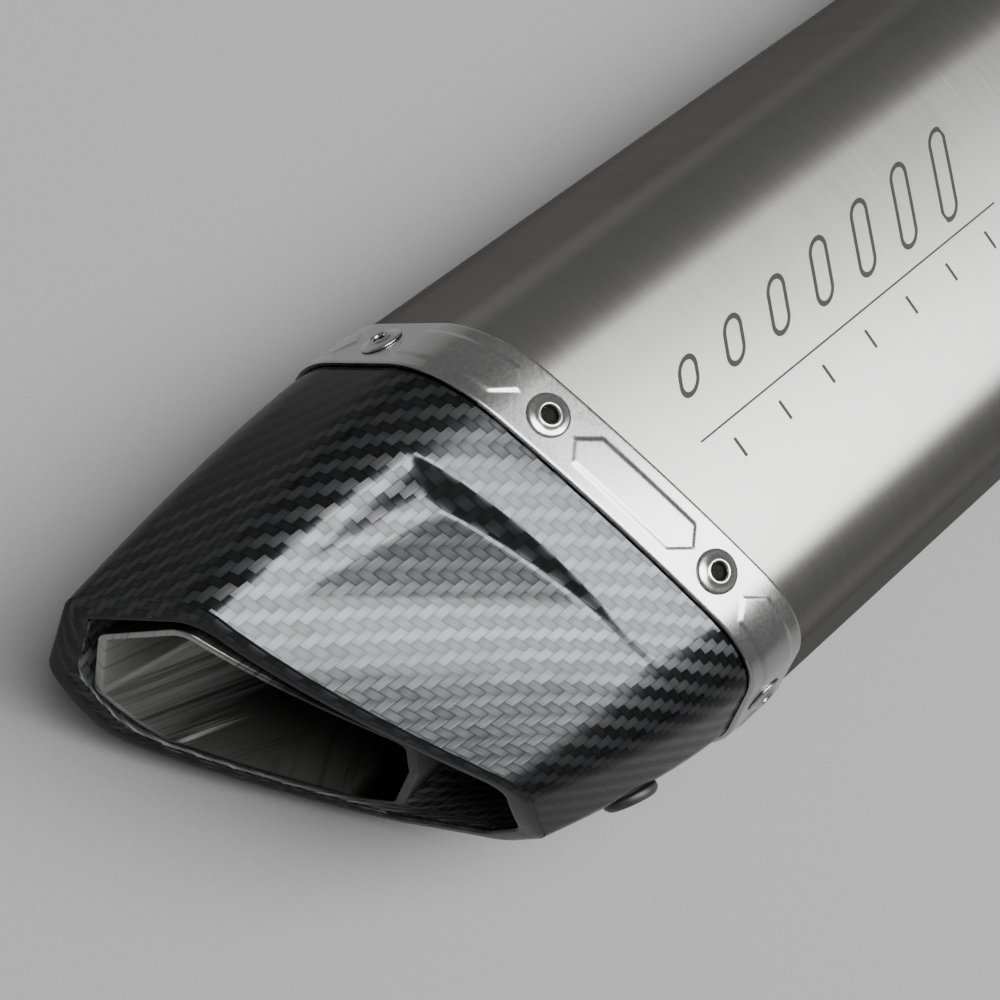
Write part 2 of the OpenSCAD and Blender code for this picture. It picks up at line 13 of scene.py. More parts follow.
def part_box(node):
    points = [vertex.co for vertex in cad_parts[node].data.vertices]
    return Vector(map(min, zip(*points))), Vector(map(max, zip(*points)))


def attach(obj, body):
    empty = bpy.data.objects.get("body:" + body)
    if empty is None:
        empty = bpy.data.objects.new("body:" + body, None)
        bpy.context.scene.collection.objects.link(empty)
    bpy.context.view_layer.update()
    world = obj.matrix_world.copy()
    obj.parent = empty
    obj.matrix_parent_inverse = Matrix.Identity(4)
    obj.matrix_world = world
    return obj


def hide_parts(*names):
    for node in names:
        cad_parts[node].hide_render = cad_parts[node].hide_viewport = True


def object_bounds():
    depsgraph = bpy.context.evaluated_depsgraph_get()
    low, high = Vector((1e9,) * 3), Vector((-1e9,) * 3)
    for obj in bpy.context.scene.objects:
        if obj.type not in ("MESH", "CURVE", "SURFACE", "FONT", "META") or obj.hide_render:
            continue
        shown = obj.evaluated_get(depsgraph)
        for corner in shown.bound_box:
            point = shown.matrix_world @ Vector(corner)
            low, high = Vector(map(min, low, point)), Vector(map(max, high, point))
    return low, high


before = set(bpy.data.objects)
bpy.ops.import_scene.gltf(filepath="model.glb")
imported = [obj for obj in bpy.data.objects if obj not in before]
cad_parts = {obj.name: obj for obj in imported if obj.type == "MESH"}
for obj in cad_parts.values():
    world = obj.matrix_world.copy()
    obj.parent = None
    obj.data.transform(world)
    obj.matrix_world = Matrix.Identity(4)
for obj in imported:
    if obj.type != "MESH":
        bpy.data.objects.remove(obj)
cad_low, cad_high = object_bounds()
MM = 0.001

# ---------------------------------------------------------------- sizes, as in the CAD model
BODY_HALF_W = 60.0
BODY_HALF_H = 48.5
NOSE_R = 34.0
SHOULDER_R = 25.0
FLAT_R = 350.0
SIDE_LEAN = math.radians(22)
SLEEVE_T = 1.0
BAND_W = 15.8
BAND_T = 1.0
BAND_SLANT = math.tan(math.radians(12.4))
PAD_RISE = 0.28
PAD_EDGE = 1.2
PAD_W = 8.6
PAD_TIP = 0.8
TOP_PAD = 32.0
NOSE_PAD = 27.0
RIVET_PAD = 30.0
BAND_ROLL = 0.25
BAND_ROLL_W = 0.5
BAND_ROWS = 52
RIVET_S = (22.9, 68.0)
MOUTH_REACH = 69.3
MOUTH_SLOPE_X = 0.603
MOUTH_SLOPE_Z = 0.106
MOUTH_CURVE_X = 0.0022
MOUTH_CURVE_Z = 0.00125
MOUTH_TWIST = -0.00308
MOUTH_FADE = 0.0000208
CAP_EASE = 1.45
CAP_T = 2.2
CAP_GAP = 0.15
SKIRT_LEN = 14.0
RIM_W = 5.2
RIM_ROUND = 1.7
LIP_DEPTH = 2.2
LIP_BACK = 2.4
RIM_TURNS = 6
LINER_ROOT_R = 27.0
LINER_T = 1.8
LINER_RECESS = 3.0
LINER_ROUND = 0.5
LINER_CENTRE = (-6.0, 0.0)
LINER_START = 4.0
OUT_PLATE = 30.0
SLEEVE_INSET = 1.0
INLET_CAP_LEN = 34.0
COLLAR_R = 27.0

sleeve_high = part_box("sleeve")[1]
SLEEVE_LEN = 300.0
SLEEVE_ROWS = 60
SLEEVE_STEP = 1.0
BAND_STEP = 0.35
CAP_ROWS = 120
CAP_INNER_ROWS = 40
SLEEVE_IN_Y = sleeve_high.y / MM
BAND_Y = SLEEVE_IN_Y - SLEEVE_LEN
MOUTH_Y = BAND_Y - MOUTH_REACH


# ---------------------------------------------------------------- the hexagonal section
def direction(angle):
    """Unit vector at an angle in the section's (x, z) plane."""
    return np.stack([np.cos(angle), np.sin(angle)], axis=-1)


NOSE_C = np.array([BODY_HALF_W - NOSE_R, 0.0])
FLAT_C = np.array([0.0, BODY_HALF_H - FLAT_R])
SIDE_N = direction(SIDE_LEAN)
SIDE_T = np.array([-math.sin(SIDE_LEAN), math.cos(SIDE_LEAN)])
side_q = NOSE_C + (NOSE_R - SHOULDER_R) * SIDE_N - FLAT_C
side_b = float(side_q @ SIDE_T)
SIDE_LEN = math.sqrt(side_b**2 - side_q @ side_q + (FLAT_R - SHOULDER_R) ** 2) - side_b
SHOULDER_C = FLAT_C + side_q + SIDE_LEN * SIDE_T
FLAT_EDGE = math.atan2(*(SHOULDER_C - FLAT_C)[::-1])
FLAT_S = FLAT_R * (math.pi / 2 - FLAT_EDGE)
SHOULDER_S = SHOULDER_R * (FLAT_EDGE - SIDE_LEAN)
NOSE_S = NOSE_R * SIDE_LEAN
QUARTER_S = FLAT_S + SHOULDER_S + SIDE_LEN + NOSE_S


def quarter_point(s, d):
    """Point and normal of the upper right quarter, s along the surface from the flat's middle."""
    s = np.asarray(s, float)
    d = np.broadcast_to(np.asarray(d, float), s.shape)[..., None]
    turn = np.where(
        s < FLAT_S,
        math.pi / 2 - s / FLAT_R,
        np.where(
            s < FLAT_S + SHOULDER_S,
            FLAT_EDGE - (s - FLAT_S) / SHOULDER_R,
            np.where(
                s < QUARTER_S - NOSE_S,
                SIDE_LEAN,
                SIDE_LEAN - (s - QUARTER_S + NOSE_S) / NOSE_R,
            ),
        ),
    )
    normal = direction(turn)
    along = (s - FLAT_S - SHOULDER_S)[..., None]
    flat = FLAT_C + FLAT_R * normal
    shoulder = SHOULDER_C + SHOULDER_R * normal
    side = SHOULDER_C + SHOULDER_R * SIDE_N - SIDE_T * along
    nose = NOSE_C + NOSE_R * normal
    s = s[..., None]
    point = np.where(
        s < FLAT_S,
        flat,
        np.where(
            s < FLAT_S + SHOULDER_S, shoulder, np.where(s < QUARTER_S - NOSE_S, side, nose)
        ),
    )
    return point + d * normal, normal


def skin(u, d):
    """Point (x, z) and normal at u along the whole perimeter, from the top flat's middle
    over the right nose, the bottom and the left nose back to the top."""
    u = np.mod(np.asarray(u, float), 4 * QUARTER_S)
    quarter = np.minimum((u // QUARTER_S).astype(int), 3)
    s = np.where(quarter % 2 == 0, u - quarter * QUARTER_S, (quarter + 1) * QUARTER_S - u)
    sign_x = np.where(quarter < 2, 1.0, -1.0)
    sign_z = np.where((quarter == 0) | (quarter == 3), 1.0, -1.0)
    point, normal = quarter_point(s, d)
    signs = np.stack([sign_x, sign_z], axis=-1)
    return point * signs, normal * signs


# ---------------------------------------------------------------- meshes from grids of points
def grid_mesh(name, points, uvs, wrap_rows=False, flip=False):
    """Mesh of a grid of points [row, column, xyz] whose last column repeats the first.
    uvs is [row, column, 2] of the same size."""
    rows, cols = points.shape[:2]
    keep = cols - 1
    verts = points[:, :keep].reshape(-1, 3) * MM
    row_n = rows if wrap_rows else rows - 1
    j, i = np.meshgrid(np.arange(row_n), np.arange(cols - 1), indexing="ij")
    j_next = (j + 1) % rows
    corners = [(j, i), (j, i + 1), (j_next, i + 1), (j_next, i)]
    if flip:
        corners = corners[::-1]
    faces = np.stack([a * keep + np.mod(b, keep) for a, b in corners], axis=-1).reshape(-1, 4)
    mesh = bpy.data.meshes.new(name)
    mesh.from_pydata(verts.tolist(), [], faces.tolist())
    layer = mesh.uv_layers.new(name="run")
    spots = np.stack([uvs[a, b] for a, b in corners], axis=2).reshape(-1, 2)
    layer.data.foreach_set("uv", spots.astype(np.float32).ravel())
    mesh.shade_smooth()
    mesh.update()
    return mesh


def piece(name, mesh, body, material, replaces=()):
    """Links a mesh as a piece that rides on a body."""
    obj = bpy.data.objects.new(name, mesh)
    bpy.context.scene.collection.objects.link(obj)
    for m in material if isinstance(material, (list, tuple)) else [material]:
        obj.data.materials.append(m)
    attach(obj, body)
    if replaces:
        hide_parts(*replaces)
    return obj


def sharpen(obj, angle=35):
    """Marks edges sharper than angle as sharp, so that flats and corners read crisply."""
    obj.data.set_sharp_from_angle(angle=math.radians(angle))


def ring_rows(profile, u):
    """Grid of hexagonal rings: profile is a list of (d, y function or number)."""
    rows = []
    for d, y in profile:
        p, _ = skin(u, d)
        y_values = y(p[:, 0]) if callable(y) else np.full(len(u), float(y))
        rows.append(np.stack([p[:, 0], y_values, p[:, 1]], axis=-1))
    return np.array(rows)


# ---------------------------------------------------------------- materials
class Shade:
    """Small builder for a node material."""

    def __init__(self, name):
        self.mat = bpy.data.materials.new(name)
        self.mat.use_nodes = True
        self.tree = self.mat.node_tree
        self.tree.nodes.clear()
        self.out = self.tree.nodes.new("ShaderNodeOutputMaterial")
        self.bsdf = self.tree.nodes.new("ShaderNodeBsdfPrincipled")
        self.tree.links.new(self.bsdf.outputs[0], self.out.inputs[0])

    def put(self, socket, value):
        """Links a socket, or sets a plain value."""
        if isinstance(value, bpy.types.NodeSocket):
            self.tree.links.new(value, socket)
        else:
            socket.default_value = value

    def node(self, kind, inputs=None, **props):
        """New node with its inputs filled and its properties set."""
        n = self.tree.nodes.new(kind)
        for key, value in props.items():
            setattr(n, key, value)
        for key, value in (inputs or {}).items():
            self.put(n.inputs[key], value)
        return n

    def math(self, op, a, b=None):
        """Result of one or two numbers."""
        n = self.node("ShaderNodeMath", operation=op)
        for i, v in enumerate((a, b)):
            if v is not None:
                self.put(n.inputs[i], v)
        return n.outputs[0]

    def ramp(self, fac, *stops):
        """Piecewise linear grey or colour by position: stops are (position, grey or rgb)."""
        n = self.node("ShaderNodeValToRGB")
        self.put(n.inputs[0], fac)
        e = n.color_ramp.elements
        while len(e) < len(stops):
            e.new(0.5)
        for slot_, (pos, col) in zip(e, stops):
            slot_.position = pos
            grey = col if isinstance(col, (tuple, list)) else (col,) * 3
            slot_.color = (*grey, 1)
        return n.outputs[0]

    def mix(self, fac, a, b):
        """Colour between a and b."""
        n = self.node("ShaderNodeMix", data_type="RGBA")
        self.put(n.inputs[0], fac)
        self.put(n.inputs[6], (*a, 1) if isinstance(a, tuple) else a)
        self.put(n.inputs[7], (*b, 1) if isinstance(b, tuple) else b)
        return n.outputs[2]

    def pick(self, choose, when_0, when_1):
        """One of two numbers, by a mask of 0 or 1."""
        n = self.node("ShaderNodeMix", data_type="FLOAT")
        self.put(n.inputs[0], choose)
        self.put(n.inputs[2], when_0)
        self.put(n.inputs[3], when_1)
        return n.outputs[0]

    def noise(self, vector, scale, detail=4.0, rough=0.55):
        """Noise from 0 to 1, scale in features per unit of the vector."""
        n = self.node("ShaderNodeTexNoise", {"Scale": scale, "Detail": detail,
                                             "Roughness": rough})
        self.put(n.inputs["Vector"], vector)
        return n.outputs["Fac"]

    def stretch(self, vector, scale):
        """Vector scaled along each of its axes."""
        n = self.node("ShaderNodeMapping", {"Scale": scale})
        self.put(n.inputs["Vector"], vector)
        return n.outputs[0]

    def uv(self):
        """The run along the sheet, in metres."""
        return self.node("ShaderNodeUVMap", uv_map="run").outputs[0]

    def place(self):
        """Place in the object's own space, in metres."""
        return self.node("ShaderNodeTexCoord").outputs["Object"]

    def bump(self, height, distance, strength, normal=None):
        """Normal bent by a height of 0 to 1, distance in millimetres."""
        n = self.node("ShaderNodeBump", {"Strength": strength, "Distance": distance * MM})
        self.put(n.inputs["Height"], height)
        if normal is not None:
            self.put(n.inputs["Normal"], normal)
        return n.outputs[0]

    def set(self, **values):
        """Sets inputs of the main shader by name and gives the material."""
        for key, value in values.items():
            name = key.replace("_", " ").title()
            name = name.replace("Ior", "IOR")
            self.put(self.bsdf.inputs[name], value)
        return self.mat


TITANIUM_DARK = (0.235, 0.232, 0.229)
TITANIUM_LIGHT = (0.33, 0.326, 0.32)
MOTIF_U = -11.8
MOTIF_LEAN = 0.62
MOTIF_SHORTEST = 0.8
MOTIF_GROWTH = 0.95
MOTIF_PITCH = 14.3
MOTIF_BARS = 7
MOTIF_START = 28.0
MOTIF_RADIUS = 2.5
MOTIF_LINE = 0.52
RULE_U = 0.5
RULE_HALF = 0.22
TICK_U = 6.5
TICK_HALF_LEN = 2.3
TICK_HALF_W = 0.38


def etched_motif(s, uv):
    """Mask of a plain etched motif: slanted outlined bars of growing length, a thin line
    and short ticks."""
    axes = s.node("ShaderNodeSeparateXYZ")
    s.put(axes.inputs[0], uv)
    across = s.math("MULTIPLY", axes.outputs[0], 1 / MM)
    along = s.math("SUBTRACT", s.math("MULTIPLY", axes.outputs[1], 1 / MM),
                   BAND_Y + MOTIF_START)
    length = MOTIF_PITCH * MOTIF_BARS
    cell = s.math("SUBTRACT", s.math("FLOORED_MODULO", along, MOTIF_PITCH), MOTIF_PITCH / 2)
    from_mid = s.math("SUBTRACT", across, MOTIF_U)
    lean = s.math("ADD", cell, s.math("MULTIPLY", from_mid, MOTIF_LEAN))
    index = s.math("FLOOR", s.math("DIVIDE", along, MOTIF_PITCH))
    half = s.math("ADD", MOTIF_SHORTEST, s.math("MULTIPLY", index, MOTIF_GROWTH))
    over = s.math("MAXIMUM", s.math("SUBTRACT", s.math("ABSOLUTE", from_mid), half), 0.0)
    reach = s.math("SQRT", s.math("ADD", s.math("MULTIPLY", over, over),
                                  s.math("MULTIPLY", lean, lean)))

    def within(value, middle, half_width):
        gap = s.math("ABSOLUTE", s.math("SUBTRACT", value, middle))
        return s.math("LESS_THAN", gap, half_width)

    outline = within(reach, MOTIF_RADIUS, MOTIF_LINE)
    rule = within(across, RULE_U, RULE_HALF)
    tick_side = within(across, TICK_U, TICK_HALF_LEN)
    tick_cell = within(cell, 0.0, TICK_HALF_W)
    ticks = s.math("MULTIPLY", tick_side, tick_cell)
    marks = s.math("MAXIMUM", s.math("MAXIMUM", outline, rule), ticks)
    return s.math("MULTIPLY", marks, within(along, length / 2, length / 2))


def brushed_titanium():
    """Satin sheet, brushed round the sleeve, with faint blotches and hairline scratches."""
    s = Shade("brushed_titanium")
    uv = s.uv()
    fine = s.noise(s.stretch(uv, (60, 5200, 1)), 1.0, 3.0, 0.6)
    streak = s.noise(s.stretch(uv, (9, 900, 1)), 1.0, 4.0, 0.6)
    cloud = s.noise(s.stretch(uv, (22, 14, 1)), 1.0, 3.0, 0.5)
    cross_hair = s.noise(s.stretch(uv, (2600, 30, 1)), 1.0, 3.0, 0.6)
    grain = s.math("ADD", s.math("MULTIPLY", fine, 0.6), s.math("MULTIPLY", streak, 0.4))
    tone = s.math("ADD", s.math("MULTIPLY", grain, 0.6), s.math("MULTIPLY", cloud, 0.25))
    tone = s.math("ADD", tone, s.math("MULTIPLY", cross_hair, 0.15))
    sheet = s.ramp(tone, (0.25, TITANIUM_DARK), (0.8, TITANIUM_LIGHT))
    mark = etched_motif(s, uv)
    colour = s.mix(s.math("MULTIPLY", mark, 0.9), sheet, (0.02, 0.02, 0.02))
    rough = s.ramp(tone, (0.25, 0.32), (0.8, 0.42))
    rough = s.math("ADD", rough, s.math("MULTIPLY", mark, 0.3))
    tangent = s.node("ShaderNodeTangent", direction_type="UV_MAP", uv_map="run")
    sunk = s.bump(mark, 0.04, 0.5)
    sunk.node.invert = True
    return s.set(base_color=colour, metallic=1.0, roughness=rough, anisotropic=0.7,
                 specular_tint=(0.2, 0.2, 0.2, 1.0),
                 anisotropic_rotation=0.25, tangent=tangent.outputs[0],
                 normal=s.bump(grain, 0.003, 0.5, sunk))


STEEL_SPREAD = 0.12


def steel(name, base, rough, bump=0.02):
    """Worked stainless steel in object space: fine grain, faint smears."""
    s = Shade(name)
    pos = s.place()
    fine = s.noise(pos, 1200.0, 4.0, 0.6)
    smear = s.noise(pos, 60.0, 3.0, 0.55)
    tone = s.math("ADD", s.math("MULTIPLY", fine, 0.5), s.math("MULTIPLY", smear, 0.5))
    low = (base * 0.82, base * 0.82, base * 0.82)
    high = (base * 1.1, base * 1.09, base * 1.08)
    colour = s.ramp(tone, (0.3, low), (0.7, high))
    roughness = s.ramp(tone, (0.3, rough - STEEL_SPREAD / 2),
                       (0.7, rough + STEEL_SPREAD / 2))
    return s.set(base_color=colour, metallic=1.0, roughness=roughness,
                 normal=s.bump(tone, bump, 0.5))


TOW = 2.0
CARBON_DARK = (0.014, 0.014, 0.0145)
CARBON_LIGHT = (0.062, 0.063, 0.066)
# The bare carbon's light tone is painted light: far lighter than the laminate's own colour, so
# the tows inside the cap show lit where they lie in shade.
CARBON_BARE_PAINTED_LIGHT = (0.34, 0.34, 0.35)


def twill_carbon(name, light, metallic, rough, coat):
    """2x2 twill carbon, lacquered as coat says. The uv is in metres: round the cap, along it."""
    s = Shade(name)
    axes = s.node("ShaderNodeSeparateXYZ")
    s.put(axes.inputs[0], s.uv())
    pos = s.place()
    drift = s.math("MULTIPLY", s.math("SUBTRACT", s.noise(pos, 60.0, 2.0), 0.5), 0.5)
    u = s.math("ADD", s.math("DIVIDE", axes.outputs[0], TOW * MM), drift)
    v = s.math("SUBTRACT", s.math("DIVIDE", axes.outputs[1], TOW * MM), drift)
    i, j = s.math("FLOOR", u), s.math("FLOOR", v)
    warp_over = s.math("LESS_THAN", s.math("FLOORED_MODULO", s.math("SUBTRACT", i, j), 4.0), 1.5)
    # run is the place along a float of two cells, cross the place across the tow, both 0 to 1
    warp_run = s.math("FLOORED_MODULO", s.math("ADD", s.math("SUBTRACT", v, i), 1.0), 4.0)
    weft_run = s.math("FLOORED_MODULO", s.math("SUBTRACT", s.math("SUBTRACT", u, j), 2.0), 4.0)
    run = s.pick(warp_over, weft_run, warp_run)
    cross = s.pick(warp_over, s.math("FRACT", v), s.math("FRACT", u))
    arch = s.math("SINE", s.math("MULTIPLY", run, math.pi / 2))
    off = s.math("ABSOLUTE", s.math("SUBTRACT", s.math("MULTIPLY", cross, 2.0), 1.0))
    crown = s.math("SUBTRACT", 1.0, s.math("POWER", off, 6.0))
    height = s.math("MULTIPLY", s.math("ADD", 0.35, s.math("MULTIPLY", arch, 0.65)), crown)
    warp_hair = s.noise(s.stretch(s.uv(), (5200, 420, 1)), 1.0, 2.0)
    weft_hair = s.noise(s.stretch(s.uv(), (420, 5200, 1)), 1.0, 2.0)
    hair = s.pick(warp_over, weft_hair, warp_hair)
    relief_and_painted_shade = s.math("ADD", s.math("MULTIPLY", height, 0.8), s.math("MULTIPLY", hair, 0.2))
    tow = s.node("ShaderNodeTexWhiteNoise", noise_dimensions="2D")
    cell = s.node("ShaderNodeCombineXYZ")
    s.put(cell.inputs[0], s.pick(warp_over, j, i))
    s.put(cell.inputs[1], s.math("MULTIPLY", warp_over, 7.0))
    s.put(tow.inputs["Vector"], cell.outputs[0])
    # Colour: a random tone per tow, painted shade that darkens each tow where it dips and towards
    # its edges, and painted sheen that makes the warp cells lighter than the weft cells.
    tone = s.math("ADD", s.math("MULTIPLY", tow.outputs["Value"], 0.2),
                  s.math("MULTIPLY", relief_and_painted_shade, 0.5))
    tone = s.math("ADD", tone, s.math("MULTIPLY", warp_over, 0.3))
    colour = s.ramp(tone, (0.15, CARBON_DARK), (0.9, light))
    tangent = s.node("ShaderNodeTangent", direction_type="UV_MAP", uv_map="run")
    bump = s.bump(relief_and_painted_shade, 0.05, 0.6)
    s.set(base_color=colour, metallic=metallic, roughness=rough, anisotropic=0.8,
          anisotropic_rotation=s.math("MULTIPLY", s.math("SUBTRACT", 1.0, warp_over), 0.25),
          tangent=tangent.outputs[0], normal=bump, specular_tint=(0.0, 0.0, 0.0, 1.0),
          coat_weight=coat, coat_roughness=0.08, coat_ior=1.45)
    ripple = s.bump(s.noise(pos, 45.0, 2.0), 0.35, 0.25)
    s.put(s.bsdf.inputs["Coat Normal"], ripple)
    return s.mat


def rubber():
    """Matt black rubber with a little dust."""
    s = Shade("black_rubber")
    pos = s.place()
    grain = s.noise(pos, 2600.0, 3.0)
    dust = s.noise(pos, 120.0, 3.0)
    colour = s.ramp(dust, (0.35, (0.012, 0.012, 0.012)), (0.75, (0.03, 0.03, 0.03)))
    rough = s.ramp(dust, (0.35, 0.45), (0.75, 0.62))
    return s.set(base_color=colour, roughness=rough, normal=s.bump(grain, 0.03, 0.4))


def painted_shade_black():
    """Matt near-black: painted shade, put on the rivet stems' tops inside the heads and on the
    wall of the bung's hole.
    """
    s = Shade("stem_painted_shade")
    grain = s.noise(s.place(), 2400.0, 4.0)
    colour = s.ramp(grain, (0.35, (0.006, 0.006, 0.006)), (0.7, (0.02, 0.019, 0.018)))
    return s.set(base_color=colour, roughness=0.9, specular_ior_level=0.05,
                 normal=s.bump(grain, 0.05, 0.6))


def liner_steel():
    """Formed sheet with scratches drawn along the outlet, and painted shade that makes it nearly
    black and rougher towards +x.
    """
    s = Shade("liner_steel")
    uv = s.uv()
    axes = s.node("ShaderNodeSeparateXYZ")
    s.put(axes.inputs[0], uv)
    drawn = s.noise(s.stretch(uv, (700, 22, 1)), 1.0, 5.0, 0.65)
    fine = s.noise(s.stretch(uv, (3200, 90, 1)), 1.0, 3.0, 0.6)
    cloud = s.noise(s.place(), 38.0, 3.0)
    mark = s.ramp(drawn, (0.52, 0.0), (0.66, 1.0))
    tone = s.math("ADD", s.math("MULTIPLY", cloud, 0.5), s.math("MULTIPLY", fine, 0.5))
    clean = s.ramp(tone, (0.3, (0.20, 0.198, 0.195)), (0.7, (0.34, 0.335, 0.33)))
    marked = s.mix(s.math("MULTIPLY", mark, 0.75), clean, (0.07, 0.068, 0.066))
    # Painted shade: from about x = -26 mm the sheet darkens to nearly black beyond x = -10 mm,
    # its edge shifted by the scratches' noise.
    spot = s.node("ShaderNodeSeparateXYZ")
    s.put(spot.inputs[0], s.place())
    edge = s.math("ADD", s.math("MULTIPLY", spot.outputs[0], 1 / MM),
                  s.math("MULTIPLY", s.math("SUBTRACT", drawn, 0.5), 26))
    liner_painted_shade = s.ramp(s.math("DIVIDE", s.math("ADD", edge, 40.0), 60.0), (0.24, 0.0), (0.5, 1.0))
    colour = s.mix(s.math("MULTIPLY", liner_painted_shade, 0.96), marked, (0.008, 0.008, 0.0075))
    rough = s.ramp(tone, (0.3, 0.22), (0.7, 0.40))
    rough = s.math("ADD", rough, s.math("MULTIPLY", liner_painted_shade, 0.22))
    return s.set(base_color=colour, metallic=1.0, roughness=rough,
                 normal=s.bump(s.math("ADD", fine, drawn), 0.05, 0.5))


def wool(name, pale, dark, scale):
    """Matted strands that run round rather than along."""
    s = Shade(name)
    pos = s.place()
    strand = s.noise(s.stretch(pos, (scale, scale * 0.25, scale)), 4.0, 5.0, 0.7)
    colour = s.ramp(strand, (0.35, dark), (0.7, pale))
    return s.set(base_color=colour, roughness=0.85, normal=s.bump(strand, 0.6, 0.9))


# ---------------------------------------------------------------- the mouth outlines
# corners seen along the axis, each (x, z, fillet radius), round from the right nose's upper one
CAP_CORNERS = [(48.6, 11.3, 14), (33.4, 39.55, 9), (-34.7, 39.55, 9), (-50, 11.3, 6),
               (-42, -16, 14), (-22, -38.7, 16), (33.4, -39.55, 9), (48.6, -11.3, 14)]
LINER_CORNERS = [(20.6, 14.8, 6), (13.5, 30.5, 4), (-32.5, 25.8, 5), (-41, 4.5, 5),
                 (-32.4, -19.8, 6), (-13, -33.5, 6), (24, -32, 6), (29.2, -20, 6)]
ARC_N = 14
EDGE_N = 8
FLAT_N = 44


def unit(v):
    """Vector of length one."""
    return v / np.linalg.norm(v)


def blend_points(a, b, t):
    """Point at share t of the way from a to b."""
    return a + (b - a) * t


def line(a, b, n):
    """n - 1 points strictly between a and b."""
    return [blend_points(a, b, k / n) for k in range(1, n)]


def fillet(p, q, s, inset):
    """Arc at corner q between its neighbours p and s, moved inwards; the third number of
    a corner is its radius."""
    r = q[2]
    a, b = unit((p - q)[:2]), unit((s - q)[:2])
    half = math.acos(max(-1.0, min(1.0, float(a @ b)))) / 2
    bis = unit(a + b)
    centre = q[:2] + bis * (r + inset) / math.sin(half)
    n0 = -(bis - a * (a @ bis))
    n1 = -(bis - b * (b @ bis))
    t0 = math.atan2(n0[1], n0[0])
    t1 = math.atan2(n1[1], n1[0])
    sweep = (t1 - t0 + 3 * math.pi) % (2 * math.pi) - math.pi
    return [centre + r * direction(t0 + sweep * k / ARC_N) for k in range(ARC_N + 1)]


def mouth_quarter(start, nose, corner, stop, inset):
    """Points of a quarter of a mouth ring: two fillets with a straight run between them."""
    f0 = fillet(start, nose, corner, inset)
    f1 = fillet(nose, corner, stop, inset)
    return f0 + line(f0[-1], f1[0], EDGE_N + 1) + f1


def join_quarters(tr, tl, bl, br, top, bottom):
    """One closed ring from the bottom's middle over the right nose, the top and the left nose."""
    right = [bottom] + br[:0:-1] + tr + [top]
    left = tl[:0:-1] + bl + [bottom]
    return np.array(right + left)


def mouth_ring(corners, inset):
    """Closed outline of a mouth from its eight corners, moved inwards by inset."""
    c = np.array(corners, float)
    tr = mouth_quarter(c[7], c[0], c[1], c[2], inset)
    tl = mouth_quarter(c[4], c[3], c[2], c[1], inset)
    bl = mouth_quarter(c[3], c[4], c[5], c[6], inset)
    br = mouth_quarter(c[0], c[7], c[6], c[5], inset)
    top = (tr[-1] + tl[-1]) / 2
    bottom = (br[-1] + bl[-1]) / 2
    tr, tl = [q + line(q[-1], top, FLAT_N) for q in (tr, tl)]
    bl, br = [q + line(q[-1], bottom, FLAT_N) for q in (bl, br)]
    return join_quarters(tr, tl, bl, br, top, bottom)


def section_ring(d):
    """The hexagonal section at offset d with the same number of points as a mouth ring."""
    arc = [NOSE_C + (NOSE_R + d) * direction(SIDE_LEAN * k / ARC_N) for k in range(ARC_N + 1)]
    side = [NOSE_C + (NOSE_R + d) * SIDE_N + SIDE_LEN * SIDE_T * k / (EDGE_N + 1)
            for k in range(1, EDGE_N + 1)]
    turns = [SIDE_LEAN + (FLAT_EDGE - SIDE_LEAN) * k / ARC_N for k in range(ARC_N + 1)]
    shoulder = [SHOULDER_C + (SHOULDER_R + d) * direction(a) for a in turns]
    flats = [FLAT_EDGE + (math.pi / 2 - FLAT_EDGE) * k / FLAT_N for k in range(1, FLAT_N)]
    flat = [FLAT_C + (FLAT_R + d) * direction(a) for a in flats]
    quarter = arc + side + shoulder + flat

    def turned(sx, sz):
        return [p * np.array([sx, sz]) for p in quarter]

    top = np.array([0.0, BODY_HALF_H + d])
    return join_quarters(turned(1, 1), turned(-1, 1), turned(-1, -1), turned(1, -1), top, -top)


def on_band(ring, y):
    """Ring laid on the plane of the slanted band at y."""
    return np.stack([ring[:, 0], y + BAND_SLANT * ring[:, 0], ring[:, 1]], axis=-1)


def on_mouth(ring, back):
    """Ring laid on the curved cut of the mouth, this far behind it."""
    x, z = ring[:, 0], ring[:, 1]
    cut = (MOUTH_SLOPE_X * x + MOUTH_SLOPE_Z * z + MOUTH_CURVE_X * x**2
           + MOUTH_CURVE_Z * z**2 + MOUTH_TWIST * x * z - MOUTH_FADE * x**3)
    return np.stack([x, MOUTH_Y + back + cut, z], axis=-1)


def square_on(ring, y):
    """Ring laid square to the axis at y."""
    return np.stack([ring[:, 0], np.full(len(ring), float(y)), ring[:, 1]], axis=-1)


def eased(a, b, t, ease=CAP_EASE):
    """Between rings a and b: evenly along the axis, but leaving a square to it."""
    out = blend_points(a, b, t)
    g = t**ease
    out[:, 0] = blend_points(a[:, 0], b[:, 0], g)
    out[:, 2] = blend_points(a[:, 2], b[:, 2], g)
    return out


def run_lengths(rows):
    """uv in metres: signed length round each ring from the top's middle, and place along y."""
    step = np.linalg.norm(np.diff(rows, axis=1), axis=2)
    u = np.concatenate([np.zeros((len(rows), 1)), np.cumsum(step, axis=1)], axis=1)
    top = rows.shape[1] // 2
    u = u - u[:, top:top + 1]
    v_step = np.linalg.norm(np.diff(rows, axis=0), axis=2).mean(axis=1)
    v = np.concatenate([[0], np.cumsum(v_step)])[:, None] + 0 * u
    return np.stack([u, v], axis=-1) * MM


# ---------------------------------------------------------------- the scoop in the cap's top
SCOOP_DEEP = np.array([-32.0, -24.0])
SCOOP_RIGHT = np.array([20.0, -11.4])
SCOOP_LEFT = np.array([-32.5, -76.0])
SCOOP_DEPTH = 6.0
SCOOP_STEP = 0.9
SCOOP_WALL = 0.6
SCOOP_BULGE = 2.2
